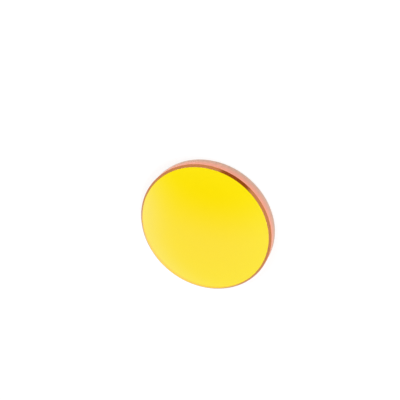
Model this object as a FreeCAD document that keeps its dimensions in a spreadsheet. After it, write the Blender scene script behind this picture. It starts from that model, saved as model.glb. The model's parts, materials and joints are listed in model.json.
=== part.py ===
"""Laser focus lens: a plano-convex disc of zinc selenide, one solid.

The lens lies on its flat face. The origin is the centre of that face and +Z is the optical axis,
towards the convex face. All lengths are in millimetres.
"""

import FreeCAD, Part
import math
import os
import Sketcher

PARTS_FOLDER = "parts"
NODE = "lens"

# Driving dimensions: name, value, meaning
DIMENSIONS = [
    ("diameter", "25", "outside diameter of the ground edge"),
    ("edge_thickness", "3", "height of the edge before the chamfers are ground"),
    ("chamfer", "0.4", "protective chamfer, measured along each face"),
    ("focal_length", "63.5", "distance from the lens to the laser's focus"),
    ("refractive_index", "2.4028", "zinc selenide at 10.6 micrometres"),
    ("face_radius", "=(refractive_index - 1) * focal_length", "radius of the convex face"),
]

VOLUME_TOLERANCE = 0.001

# How a sketch numbers the points of a line or arc, and its own origin and vertical axis
START, END, CENTRE = 1, 2, 3
ORIGIN = (-1, 1)
VERTICAL_AXIS = -2


def make_sheet(doc):
    """One row for each dimension: its name, its value and what it means."""
    sheet = doc.addObject("Spreadsheet::Sheet", "dimensions")
    for row, (alias, value, meaning) in enumerate(DIMENSIONS, start=1):
        sheet.set(f"A{row}", alias)
        sheet.set(f"B{row}", value)
        sheet.set(f"C{row}", meaning)
        sheet.setAlias(f"B{row}", alias)
    doc.recompute()
    return sheet


def origin_feature(body, role):
    """The body's own origin plane or axis that has this role."""
    return next(f for f in body.Origin.OriginFeatures if f.Role == role)


def bind(sketch, constraint, name, formula):
    """Add a dimension to the sketch, name it and tie it to the sheet."""
    index = sketch.addConstraint(constraint)
    sketch.renameConstraint(index, name)
    sketch.setExpression(f"Constraints.{name}", formula)


def half_section(body, sheet):
    """Half of the lens's section: flat face, ground edge, convex arc and optical axis."""
    radius = sheet.diameter / 2
    edge_top = sheet.edge_thickness
    curve = sheet.face_radius
    curve_centre = edge_top - math.sqrt(curve**2 - radius**2)
    crown = curve_centre + curve
    rim_angle = math.atan2(edge_top - curve_centre, radius)

    section = body.newObject("Sketcher::SketchObject", "half_section")
    section.AttachmentSupport = (origin_feature(body, "XZ_Plane"), [""])
    section.MapMode = "FlatFace"

    def point(x, y):
        return FreeCAD.Vector(x, y, 0)

    flat = section.addGeometry(Part.LineSegment(point(0, 0), point(radius, 0)))
    rim = section.addGeometry(Part.LineSegment(point(radius, 0), point(radius, edge_top)))
    sphere = Part.Circle(point(0, curve_centre), FreeCAD.Vector(0, 0, 1), curve)
    convex = section.addGeometry(Part.ArcOfCircle(sphere, rim_angle, math.pi / 2))
    axis = section.addGeometry(Part.LineSegment(point(0, crown), point(0, 0)))

    section.addConstraint(Sketcher.Constraint("Coincident", flat, START, *ORIGIN))
    section.addConstraint(Sketcher.Constraint("Coincident", flat, END, rim, START))
    section.addConstraint(Sketcher.Constraint("Coincident", rim, END, convex, START))
    section.addConstraint(Sketcher.Constraint("Coincident", convex, END, axis, START))
    section.addConstraint(Sketcher.Constraint("Coincident", axis, END, *ORIGIN))
    section.addConstraint(Sketcher.Constraint("Horizontal", flat))
    section.addConstraint(Sketcher.Constraint("Vertical", rim))
    section.addConstraint(Sketcher.Constraint("Vertical", axis))
    section.addConstraint(Sketcher.Constraint("PointOnObject", convex, CENTRE, VERTICAL_AXIS))

    bind(
        section,
        Sketcher.Constraint("DistanceX", flat, START, flat, END, radius),
        "edge_radius",
        f"{sheet.Name}.diameter / 2",
    )
    bind(
        section,
        Sketcher.Constraint("DistanceY", rim, START, rim, END, edge_top),
        "edge_thickness",
        f"{sheet.Name}.edge_thickness",
    )
    bind(
        section,
        Sketcher.Constraint("Radius", convex, curve),
        "face_radius",
        f"{sheet.Name}.face_radius",
    )
    return section


def rim_edges(shape, radius):
    """Names of the two circles where the ground edge meets the faces."""
    return [
        f"Edge{number}"
        for number, edge in enumerate(shape.Edges, start=1)
        if not edge.Degenerated
        and edge.isClosed()
        and abs(edge.Length - 2 * math.pi * radius) < 1e-6
    ]


def make_lens(doc, sheet):
    """The section turned about the optical axis, with both rims chamfered."""
    body = doc.addObject("PartDesign::Body", NODE)
    body.Label = NODE
    section = half_section(body, sheet)
    doc.recompute()

    blank = body.newObject("PartDesign::Revolution", "polished_blank")
    blank.Profile = section
    blank.ReferenceAxis = (section, ["V_Axis"])
    blank.Angle = 360
    doc.recompute()

    rims = rim_edges(blank.Shape, sheet.diameter / 2)
    if len(rims) != 2:
        raise RuntimeError(f"the blank has {len(rims)} rims, not 2")
    bevels = body.newObject("PartDesign::Chamfer", "protective_chamfers")
    bevels.Base = (blank, rims)
    bevels.setExpression("Size", f"{sheet.Name}.chamfer")
    body.Tip = bevels
    body.Placement = FreeCAD.Placement()
    doc.recompute()
    return body


def expected_volume(sheet):
    """Disc and spherical cap, less the two triangular rings that the chamfers take off."""
    radius = sheet.diameter / 2
    curve = sheet.face_radius
    sag = curve - math.sqrt(curve**2 - radius**2)
    disc = math.pi * radius**2 * sheet.edge_thickness
    cap = math.pi * sag**2 * (3 * curve - sag) / 3
    ring = math.pi * (radius - sheet.chamfer / 3) * sheet.chamfer**2
    return disc + cap - 2 * ring


def check(doc, body, sheet):
    """Stop if an object failed, if the solid isn't sound, or if its volume is wrong."""
    for item in doc.Objects:
        if "Invalid" in item.State or "Error" in item.State:
            raise RuntimeError(f"{item.Name} failed: {item.State}")
    shape = body.Shape
    if shape.isNull() or not shape.isValid() or len(shape.Solids) != 1:
        raise RuntimeError(f"{body.Label} is not one sound solid")
    expected = expected_volume(sheet)
    if abs(shape.Volume - expected) > VOLUME_TOLERANCE * expected:
        raise RuntimeError(f"volume {shape.Volume:.2f}, expected {expected:.2f}")


def main():
    doc = FreeCAD.newDocument("laser_focus_lens")
    sheet = make_sheet(doc)
    lens = make_lens(doc, sheet)
    check(doc, lens, sheet)
    os.makedirs(PARTS_FOLDER, exist_ok=True)
    lens.Shape.exportStep(os.path.join(PARTS_FOLDER, f"{lens.Label}.step"))
    box = lens.Shape.optimalBoundingBox()
    print(f"{lens.Label}: {box.XLength:.3f} x {box.YLength:.3f} x {box.ZLength:.3f} mm,", end=" ")
    print(f"volume {lens.Shape.Volume:.2f} cubic mm")


main()
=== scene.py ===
"""Laser focus lens: the finished look of one coated disc of zinc selenide.

The lens lies on its flat face at the origin, with its optical axis along +Z. Lengths are in metres.
"""

import json
import math

import bpy
import numpy as np
from mathutils import Matrix, Vector


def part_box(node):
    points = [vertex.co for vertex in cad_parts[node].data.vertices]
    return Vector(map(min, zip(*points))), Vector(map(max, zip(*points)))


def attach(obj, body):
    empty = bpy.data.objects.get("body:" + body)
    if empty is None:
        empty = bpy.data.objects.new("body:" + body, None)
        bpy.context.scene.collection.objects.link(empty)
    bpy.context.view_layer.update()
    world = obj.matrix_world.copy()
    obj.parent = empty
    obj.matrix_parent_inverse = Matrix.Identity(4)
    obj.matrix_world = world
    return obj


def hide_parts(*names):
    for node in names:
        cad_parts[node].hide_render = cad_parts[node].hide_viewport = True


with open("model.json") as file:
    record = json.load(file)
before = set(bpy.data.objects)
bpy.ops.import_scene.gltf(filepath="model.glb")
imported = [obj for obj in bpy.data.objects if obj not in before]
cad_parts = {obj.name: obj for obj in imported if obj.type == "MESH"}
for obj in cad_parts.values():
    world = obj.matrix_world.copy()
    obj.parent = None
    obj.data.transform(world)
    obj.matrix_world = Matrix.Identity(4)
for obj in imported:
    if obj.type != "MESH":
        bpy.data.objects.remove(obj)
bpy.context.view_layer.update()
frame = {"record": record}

bl_info = {
    "name": "Laser focus lens",
    "version": (1, 0, 0),
    "blender": (4, 5, 0),
    "location": "View3D > Sidebar > Lens",
    "description": "A coated plano-convex lens with ground edge, and a plain white stage",
    "category": "Object",
}

MM = 0.001
BODY = "root"
NODE = "lens"

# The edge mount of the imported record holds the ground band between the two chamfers
EDGE_MOUNT = next(m for m in frame["record"]["mounts"] if m["name"] == "edge")
EDGE_RADIUS = EDGE_MOUNT["dims"]["r_mm"] * MM
BAND_HEIGHT = EDGE_MOUNT["dims"]["length_mm"] * MM
CROWN_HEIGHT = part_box(NODE)[1].z

# Unit vectors from the lens to what its surfaces mirror in the photograph's view: most of the face
# a grey wall, its near side a dark ceiling, and the near chamfer a low dark strip behind the camera
GREY_WALL = (-0.11, 0.51, 0.853)
DARK_CEILING = (0.279, 0.039, 0.959)
DARK_STRIP = (0.115, -0.870, 0.480)

# Turns inside the crystal after which the surface shows a painted glow of one even colour in place
# of the light that is left
MOST_INNER_TURNS = 2


class Value:
    """A number that flows through a node tree. Arithmetic on it adds Math nodes."""

    def __init__(self, graph, socket):
        self.graph = graph
        self.socket = socket

    def maths(self, operation, *terms):
        node = self.graph.node("ShaderNodeMath", {"operation": operation}, *terms)
        return Value(self.graph, node.outputs[0])

    def __add__(self, other):
        return self.maths("ADD", self, other)

    def __sub__(self, other):
        return self.maths("SUBTRACT", self, other)

    def __rsub__(self, other):
        return self.maths("SUBTRACT", other, self)

    def __mul__(self, other):
        return self.maths("MULTIPLY", self, other)

    __radd__ = __add__
    __rmul__ = __mul__

    def root(self):
        return self.maths("SQRT", self)

    def larger(self, other):
        return self.maths("MAXIMUM", self, other)

    def beyond(self, other):
        """1 above the other value and 0 below it."""
        return self.maths("GREATER_THAN", self, other)

    def step(self, low, high):
        """0 below low, 1 above high and a smooth rise between them."""
        ranges = {"interpolation_type": "SMOOTHSTEP", "clamp": True}
        node = self.graph.node("ShaderNodeMapRange", ranges, self, low, high, 0.0, 1.0)
        return Value(self.graph, node.outputs[0])


class Graph:
    """A node tree that is emptied and then filled one node at a time."""

    def __init__(self, tree):
        self.tree = tree
        tree.nodes.clear()

    def node(self, kind, settings=None, *ordered, **named):
        """A node of that kind: its settings first, then its sockets in order or by name."""
        node = self.tree.nodes.new(kind)
        for name, value in (settings or {}).items():
            setattr(node, name, value)
        for index, value in enumerate(ordered):
            self.feed(node.inputs[index], value)
        for name, value in named.items():
            self.feed(node.inputs[name.replace("_", " ")], value)
        return node

    def feed(self, socket, value):
        """Link the socket to a value or an output, or set it to a plain number or colour."""
        if isinstance(value, Value):
            value = value.socket
        if isinstance(value, bpy.types.NodeSocket):
            self.tree.links.new(value, socket)
        elif value is not None:
            socket.default_value = value

    def colour(self, factor, first, second):
        """A colour that goes from the first to the second as the factor goes from 0 to 1."""
        node = self.node("ShaderNodeMix", {"data_type": "RGBA"})
        self.feed(node.inputs["Factor"], factor)
        self.feed(node.inputs["A"], first)
        self.feed(node.inputs["B"], second)
        return node.outputs["Result"]


def solid_colour(red, green, blue):
    return (red, green, blue, 1.0)


class LensSizes(bpy.types.PropertyGroup):
    radius: bpy.props.FloatProperty(
        name="Radius", description="Radius of the ground edge", default=EDGE_RADIUS,
        unit="LENGTH",
    )
    chamfer: bpy.props.FloatProperty(
        name="Chamfer", description="Width of the chamfer along each face", default=0.4 * MM,
        unit="LENGTH",
    )
    band: bpy.props.FloatProperty(
        name="Ground band", description="Height of the edge between its chamfers",
        default=BAND_HEIGHT, unit="LENGTH",
    )
    crown: bpy.props.FloatProperty(
        name="Crown", description="Thickness of the lens on its axis", default=CROWN_HEIGHT,
        unit="LENGTH",
    )
    rounding: bpy.props.FloatProperty(
        name="Rounding", description="Radius of the fine rounding beside the chamfers",
        default=0.03 * MM, unit="LENGTH",
    )
    segments: bpy.props.IntProperty(
        name="Segments", description="Steps around the axis", default=384, min=24,
    )


class LensFinish(bpy.types.PropertyGroup):
    absorbed: bpy.props.FloatVectorProperty(
        name="Absorption", description="What the crystal absorbs, for each metre of depth",
        default=(1.0, 63.0, 1500.0), size=3,
    )
    index: bpy.props.FloatProperty(
        name="Refractive index", description="Zinc selenide in visible light", default=2.5,
    )
    coating: bpy.props.FloatVectorProperty(
        name="Coating", description="Share of the bare reflection that the coating leaves",
        default=(0.02, 0.08, 0.90), subtype="COLOR",
    )
    bevel: bpy.props.FloatVectorProperty(
        name="Chamfer tint", description="Tint of the satin chamfers",
        default=(0.43, 0.12, 0.012), subtype="COLOR",
    )
    ground: bpy.props.FloatVectorProperty(
        name="Ground edge", description="Colour of the fine-ground edge at the convex face",
        default=(0.76, 0.245, 0.137), subtype="COLOR",
    )
    # Painted shade: the ground edge is darker and greyer towards the flat face than at the convex
    # face
    ground_low: bpy.props.FloatVectorProperty(
        name="Ground edge, flat side",
        description="Colour of the fine-ground edge at the flat face",
        default=(0.49, 0.28, 0.185), subtype="COLOR",
    )
    # Painted glow: an emission colour that the edge and chamfers show from inside the crystal, in
    # place of the light they would let in
    edge_light: bpy.props.FloatVectorProperty(
        name="Edge light", description="Light that the ground edge lets into the crystal",
        default=(1.0, 0.81, 0.62), subtype="COLOR",
    )
    # Painted glow: an even emission colour shown after a few turns inside the crystal, in place of
    # the light that is left there
    deep_light: bpy.props.FloatVectorProperty(
        name="Deep light", description="Light that is left after many turns in the crystal",
        default=(0.88, 0.60, 0.10), subtype="COLOR",
    )


class StageSetup(bpy.types.PropertyGroup):
    elevation: bpy.props.FloatProperty(
        name="Elevation", description="Camera's height above the lens, as an angle",
        default=math.radians(56.01), subtype="ANGLE",
    )
    distance: bpy.props.FloatProperty(
        name="Distance", description="From the camera to the middle of the face",
        default=122.4 * MM, unit="LENGTH",
    )
    focal_length: bpy.props.FloatProperty(
        name="Focal length", description="Camera's focal length in millimetres", default=61.2,
    )
    roll: bpy.props.FloatProperty(
        name="Roll", description="Turn of the camera about its line of sight",
        default=math.radians(-142.35), subtype="ANGLE",
    )
    yaw: bpy.props.FloatProperty(
        name="Yaw", description="Turn that moves the lens sideways in the picture",
        default=math.radians(0.30), subtype="ANGLE",
    )
    pitch: bpy.props.FloatProperty(
        name="Pitch", description="Turn that moves the lens up or down in the picture",
        default=math.radians(2.50), subtype="ANGLE",
    )
    lamp_place: bpy.props.FloatVectorProperty(
        name="Lamp place", description="Where the right lamp hangs; the left one mirrors it",
        default=(0.42, -0.10, 0.62), subtype="TRANSLATION",
    )
    lamp_width: bpy.props.FloatProperty(
        name="Lamp width", description="Width of each softbox", default=0.55, unit="LENGTH",
    )
    lamp_height: bpy.props.FloatProperty(
        name="Lamp height", description="Height of each softbox", default=0.22, unit="LENGTH",
    )
    lamp_power: bpy.props.FloatProperty(
        name="Lamp power", description="Power of each softbox", default=3.2, unit="POWER",
    )


def rounded_corner(before, corner, after, radius, steps):
    """Arc of that radius that touches both lines of a corner, from the first line to the second.

    The arc's centre lies on the line that halves the corner, and its points are even in angle.
    """
    before, corner, after = (np.asarray(p, float) for p in (before, corner, after))
    first = (before - corner) / np.linalg.norm(before - corner)
    second = (after - corner) / np.linalg.norm(after - corner)
    half = math.acos(np.clip(first @ second, -1, 1)) / 2
    middle = (first + second) / np.linalg.norm(first + second)
    centre = corner + middle * radius / math.sin(half)
    start = corner + first * radius / math.tan(half) - centre
    end = corner + second * radius / math.tan(half) - centre
    turn = math.atan2(start[0] * end[1] - start[1] * end[0], start @ end)
    angles = np.linspace(0, turn, steps)
    across = np.array([-start[1], start[0]])
    return centre + np.outer(np.cos(angles), start) + np.outer(np.sin(angles), across)


def lens_profile(sizes):
    """Half section of the lens, as radius and height, from the flat face's centre to the crown.

    A straight flat face, a chamfer, the straight ground band, a second chamfer and an arc of the
    sphere that passes through the edge's upper rim and the crown. Each corner is a fine arc.
    """
    corner_points = 5
    straight_points = 8
    flat_points = 12
    convex_points = 60
    tangent_step = 1e-3
    edge_top = sizes.band + 2 * sizes.chamfer
    sag = sizes.crown - edge_top
    sphere = (sizes.radius**2 + sag**2) / (2 * sag)
    centre = sizes.crown - sphere
    rim_angle = math.asin(sizes.radius / sphere) - sizes.chamfer / sphere

    def on_sphere(angle):
        return np.stack([sphere * np.sin(angle), centre + sphere * np.cos(angle)], axis=-1)

    corners = [
        (0.0, 0.0),
        (sizes.radius - sizes.chamfer, 0.0),
        (sizes.radius, sizes.chamfer),
        (sizes.radius, edge_top - sizes.chamfer),
        tuple(on_sphere(rim_angle)),
        tuple(on_sphere(rim_angle - tangent_step)),
    ]
    arcs = [
        rounded_corner(before, corner, after, sizes.rounding, corner_points)
        for before, corner, after in zip(corners, corners[1:], corners[2:])
    ]
    flat_radii = (arcs[0][0, 0] - sizes.rounding) * np.linspace(0, 1, flat_points)
    flat = np.stack([flat_radii, np.zeros_like(flat_radii)], axis=-1)
    convex_start = math.asin(arcs[-1][-1, 0] / sphere) - sizes.rounding / sphere
    convex = on_sphere(convex_start * np.linspace(1, 0, convex_points))

    shares = np.linspace(0, 1, straight_points)[1:-1, None]
    pieces = [flat, arcs[0]]
    for arc, following in zip(arcs, arcs[1:]):
        pieces.append(arc[-1] * (1 - shares) + following[0] * shares)
        pieces.append(following)
    return np.concatenate([*pieces, convex])


def turned(profile, segments):
    """Surface of revolution: each profile point at radius r goes round the axis as a circle.

    x = r cos(turn), y = r sin(turn), z = height. The first and last points lie on the axis, and
    each is a single vertex that closes the surface with a fan.
    """
    turn = np.linspace(0, 2 * math.pi, segments, endpoint=False)
    radii = profile[1:-1, 0][:, None]
    heights = profile[1:-1, 1][:, None]
    rings = np.stack(
        [radii * np.cos(turn), radii * np.sin(turn), heights + 0 * turn], axis=-1
    )
    bottom = np.array([[0.0, 0.0, profile[0, 1]]])
    top = np.array([[0.0, 0.0, profile[-1, 1]]])
    points = np.concatenate([bottom, rings.reshape(-1, 3), top])

    count = len(rings)
    this = np.arange(segments)
    following = (this + 1) % segments
    lower = 1 + segments * np.arange(count - 1)[:, None]
    upper = lower + segments
    quads = np.stack(
        [lower + this, lower + following, upper + following, upper + this], axis=-1
    ).reshape(-1, 4)
    first_ring = 1
    last_ring = 1 + segments * (count - 1)
    pole = 0 * this
    bottom_fan = np.stack([pole, first_ring + following, first_ring + this], axis=-1)
    top_fan = np.stack(
        [pole + len(points) - 1, last_ring + this, last_ring + following], axis=-1
    )
    return points, [*quads.tolist(), *bottom_fan.tolist(), *top_fan.tolist()]


def new_mesh_object(name, points, faces):
    """Smooth mesh object at the origin, with its place in its mesh."""
    mesh = bpy.data.meshes.new(name)
    mesh.from_pydata(points.tolist(), [], faces)
    mesh.polygons.foreach_set("use_smooth", [True] * len(mesh.polygons))
    if mesh.validate():
        raise RuntimeError(f"{name}: the mesh had faces that don't hold together")
    mesh.update()
    piece = bpy.data.objects.new(name, mesh)
    bpy.context.scene.collection.objects.link(piece)
    return piece


def crystal_material(sizes, finish):
    """Coated yellow crystal whose edge is ground dull and whose chamfers are satin.

    Distance from the axis tells the three finishes apart. They share the maps of roughness, metal
    and grain, so the one that an exported model keeps has them all. Seen from inside, the edge and
    chamfers show a painted glow, an emission colour in place of the light that they would let in.
    After a few turns inside the crystal a second painted glow of one even colour stands in for the
    light that is left, and depth in the crystal tints what is seen.
    """
    material = bpy.data.materials.new("coated_crystal")
    material.use_nodes = True
    graph = Graph(material.node_tree)
    place = graph.node("ShaderNodeTexCoord").outputs["Object"]
    parts = graph.node("ShaderNodeSeparateXYZ", None, place).outputs
    across, along, height = (Value(graph, parts[axis]) for axis in "XYZ")
    from_axis = (across * across + along * along).root()

    # The fine roundings share the chamfers' finish
    face_limit = sizes.radius - sizes.chamfer
    off_face = from_axis.step(face_limit - 1.2 * sizes.rounding, face_limit - 0.4 * sizes.rounding)
    on_band = from_axis.step(sizes.radius - sizes.rounding, sizes.radius - 0.3 * sizes.rounding)

    face_dull, chamfer_dull, band_dull = 0.02, 0.12, 0.45
    roughness = (
        face_dull
        + (chamfer_dull - face_dull) * off_face
        + (band_dull - chamfer_dull) * on_band
    )
    chamfer_metal = 0.4
    metal = chamfer_metal * off_face * (1 - on_band)
    grain = graph.node("ShaderNodeTexNoise", None, Vector=place, Scale=9000.0, Detail=3.0)
    relief = (Value(graph, grain.outputs[0]) - 0.5) * on_band
    bump = graph.node("ShaderNodeBump", None, Strength=0.35, Distance=0.02 * MM, Height=relief)
    shared = {"Roughness": roughness, "Metallic": metal, "Normal": bump.outputs[0]}

    polished = graph.node(
        "ShaderNodeBsdfPrincipled", None, **shared,
        Base_Color=solid_colour(1, 1, 1),
        IOR=finish.index,
        Transmission_Weight=1.0,
        Specular_Tint=(*finish.coating, 1.0),
    )
    bevel = graph.node(
        "ShaderNodeBsdfPrincipled", None, **shared,
        Base_Color=(*finish.bevel, 1.0),
        IOR=finish.index,
        Transmission_Weight=0.46,
        Specular_IOR_Level=0.65,
        Specular_Tint=solid_colour(0.97, 0.88, 0.56),
    )
    # Painted shade: the ground edge's colour darkens and greys from the convex face down to the
    # flat face
    painted_shade_fade = height.step(sizes.chamfer, sizes.chamfer + sizes.band)
    ground = graph.node(
        "ShaderNodeBsdfPrincipled", None, **shared,
        Base_Color=graph.colour(painted_shade_fade, (*finish.ground_low, 1.0), (*finish.ground, 1.0)),
        IOR=1.9,
        Transmission_Weight=0.1,
    )
    rim = graph.node(
        "ShaderNodeMixShader", None, on_band, bevel.outputs[0], ground.outputs[0]
    )
    bare = graph.node(
        "ShaderNodeMixShader", None, off_face, polished.outputs[0], rim.outputs[0]
    )

    inside = Value(graph, graph.node("ShaderNodeNewGeometry").outputs["Backfacing"])
    inner_turns = Value(graph, graph.node("ShaderNodeLightPath").outputs["Glossy Depth"])
    # Two emission colours that are painted glow, not lamps
    edge_light, deep_light = (
        graph.node("ShaderNodeEmission", None, Color=(*colour, 1.0), Strength=1.0).outputs[0]
        for colour in (finish.edge_light, finish.deep_light)
    )
    # Painted glow: seen from inside, the chamfers and the ground edge show the painted edge glow
    # instead of their own shading
    with_painted_edge_glow = graph.node(
        "ShaderNodeMixShader", None, off_face * inside, bare.outputs[0], edge_light
    )
    # Painted glow: after more than the most inner turns, the surface shows the painted deep glow
    surface = graph.node(
        "ShaderNodeMixShader", None,
        inner_turns.beyond(MOST_INNER_TURNS), with_painted_edge_glow.outputs[0], deep_light,
    )
    material.cycles.emission_sampling = "NONE"

    strongest = max(finish.absorbed)
    left = [1 - rate / strongest for rate in finish.absorbed]
    depth = graph.node(
        "ShaderNodeVolumeAbsorption", None, Color=(*left, 1.0), Density=strongest
    )
    graph.node(
        "ShaderNodeOutputMaterial", None, Surface=surface.outputs[0], Volume=depth.outputs[0]
    )
    return material


class LENS_OT_disc(bpy.types.Operator):
    """Turn the lens's section about its axis and give it its finish"""

    bl_idname = "lens.disc"
    bl_label = "Lens disc"

    def execute(self, context):
        sizes = context.scene.lens_sizes
        points, faces = turned(lens_profile(sizes), sizes.segments)
        disc = new_mesh_object("lens_disc", points, faces)
        disc.data.materials.append(crystal_material(sizes, context.scene.lens_finish))
        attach(disc, BODY)
        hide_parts(NODE)
        return {"FINISHED"}


def ways_of_seeing(graph):
    """Two switches: seen straight by the camera, and seen in a reflection or through crystal."""
    path = graph.node("ShaderNodeLightPath").outputs
    camera, mirror, through = (
        Value(graph, path[name])
        for name in ("Is Camera Ray", "Is Glossy Ray", "Is Transmission Ray")
    )
    return camera, mirror.larger(through)


def floor_material():
    """White table that stays white to the eye and keeps a soft shadow of the lens."""
    material = bpy.data.materials.new("white_table")
    material.use_nodes = True
    graph = Graph(material.node_tree)
    camera, indirect = ways_of_seeing(graph)
    place = graph.node("ShaderNodeTexCoord").outputs["Object"]
    distance = graph.node("ShaderNodeVectorMath", {"operation": "LENGTH"}, place).outputs["Value"]
    least_glow = 0.75
    shadow_reach = 0.10
    all_white = 0.40
    far = Value(graph, distance).step(shadow_reach, all_white)
    glowing = indirect.larger(camera * (least_glow + (1 - least_glow) * far))
    paper = graph.node("ShaderNodeBsdfDiffuse", None, Color=solid_colour(0.95, 0.95, 0.95))
    glow = graph.node("ShaderNodeEmission", None, Color=solid_colour(1, 1, 1), Strength=1.0)
    surface = graph.node(
        "ShaderNodeMixShader", None, glowing, paper.outputs[0], glow.outputs[0]
    )
    graph.node("ShaderNodeOutputMaterial", None, Surface=surface.outputs[0])
    return material


def studio_world():
    """White studio with a grey wall, a dark ceiling patch and a low dark strip.

    Each is a cone about its direction with a soft edge, and the strip is cut off above and below
    as well. The camera itself sees plain white.
    """
    world = bpy.data.worlds.new("studio")
    bpy.context.scene.world = world
    world.use_nodes = True
    graph = Graph(world.node_tree)
    camera = ways_of_seeing(graph)[0]
    direction = graph.node("ShaderNodeTexCoord").outputs["Generated"]
    height = Value(graph, graph.node("ShaderNodeSeparateXYZ", None, direction).outputs["Z"])

    def cone(middle, edge, core):
        """1 where the cosine from the middle passes core, and 0 where it is below edge."""
        towards = graph.node(
            "ShaderNodeVectorMath", {"operation": "DOT_PRODUCT"}, direction, middle
        )
        return Value(graph, towards.outputs["Value"]).step(edge, core)

    wall_darkness = 0.72
    above_bottom = height.step(0.24, 0.32)
    above_top = height.step(0.60, 0.68)
    grey = wall_darkness * cone(GREY_WALL, 0.87, 0.97)
    strip = cone(DARK_STRIP, 0.90, 0.955) * above_bottom * (1 - above_top)
    dark = cone(DARK_CEILING, 0.77, 0.93).larger(strip)
    studio = (1 - grey) * (1 - dark)
    graph.node(
        "ShaderNodeOutputWorld", None,
        Surface=graph.node(
            "ShaderNodeBackground", None,
            Color=solid_colour(1, 1, 1), Strength=studio * (1 - camera) + camera,
        ).outputs[0],
    )
    return world


def softbox(name, place, setup):
    """A strip lamp that faces the lens, and that the lens mirrors but doesn't let through."""
    light = bpy.data.lights.new(name, "AREA")
    light.shape = "RECTANGLE"
    light.size = setup.lamp_width
    light.size_y = setup.lamp_height
    light.energy = setup.lamp_power
    lamp = bpy.data.objects.new(name, light)
    lamp.location = place
    lamp.rotation_euler = place.to_track_quat("Z", "Y").to_euler()
    lamp.visible_transmission = False
    bpy.context.scene.collection.objects.link(lamp)
    return lamp


class LENS_OT_stage(bpy.types.Operator):
    """Lay the white table, hang the lamps and set up the camera"""

    bl_idname = "lens.stage"
    bl_label = "White stage"

    def execute(self, context):
        scene = context.scene
        setup = scene.lens_stage
        table_size = 3.0
        table_drop = 0.02 * MM
        corners = np.array([(-1, -1, 0), (1, -1, 0), (1, 1, 0), (-1, 1, 0)]) * table_size / 2
        corners[:, 2] = -table_drop
        table = new_mesh_object("table", corners, [(0, 1, 2, 3)])
        table.data.materials.append(floor_material())
        studio_world()
        right = Vector(setup.lamp_place)
        softbox("right_lamp", right, setup)
        softbox("left_lamp", right * Vector((-1, 1, 1)), setup)

        edge_top = scene.lens_sizes.band + 2 * scene.lens_sizes.chamfer
        middle = Vector((0, 0, edge_top))
        away = Vector((0, -math.cos(setup.elevation), math.sin(setup.elevation)))
        data = bpy.data.cameras.new("camera")
        data.lens = setup.focal_length
        data.clip_start = 1 * MM
        camera = bpy.data.objects.new("camera", data)
        scene.collection.objects.link(camera)
        turns = (
            Matrix.Rotation(math.pi / 2 - setup.elevation, 4, "X")
            @ Matrix.Rotation(setup.roll, 4, "Z")
            @ Matrix.Rotation(setup.yaw, 4, "Y")
            @ Matrix.Rotation(setup.pitch, 4, "X")
        )
        camera.matrix_world = Matrix.Translation(middle + away * setup.distance) @ turns
        scene.camera = camera
        scene.view_settings.view_transform = "Standard"
        return {"FINISHED"}


class LENS_PT_panel(bpy.types.Panel):
    bl_label = "Laser focus lens"
    bl_idname = "LENS_PT_panel"
    bl_space_type = "VIEW_3D"
    bl_region_type = "UI"
    bl_category = "Lens"

    def draw(self, context):
        for group in GROUPS:
            settings = getattr(context.scene, group)
            box = self.layout.box()
            for name in settings.__annotations__:
                box.prop(settings, name)
        for operator in (LENS_OT_disc, LENS_OT_stage):
            self.layout.operator(operator.bl_idname)


GROUPS = {"lens_sizes": LensSizes, "lens_finish": LensFinish, "lens_stage": StageSetup}
CLASSES = (*GROUPS.values(), LENS_OT_disc, LENS_OT_stage, LENS_PT_panel)


def register():
    for cls in CLASSES:
        bpy.utils.register_class(cls)
    for name, group in GROUPS.items():
        setattr(bpy.types.Scene, name, bpy.props.PointerProperty(type=group))


def unregister():
    for name in GROUPS:
        delattr(bpy.types.Scene, name)
    for cls in reversed(CLASSES):
        bpy.utils.unregister_class(cls)


def main():
    register()
    bpy.ops.lens.disc()
    bpy.ops.lens.stage()


if __name__ == "__main__":
    main()
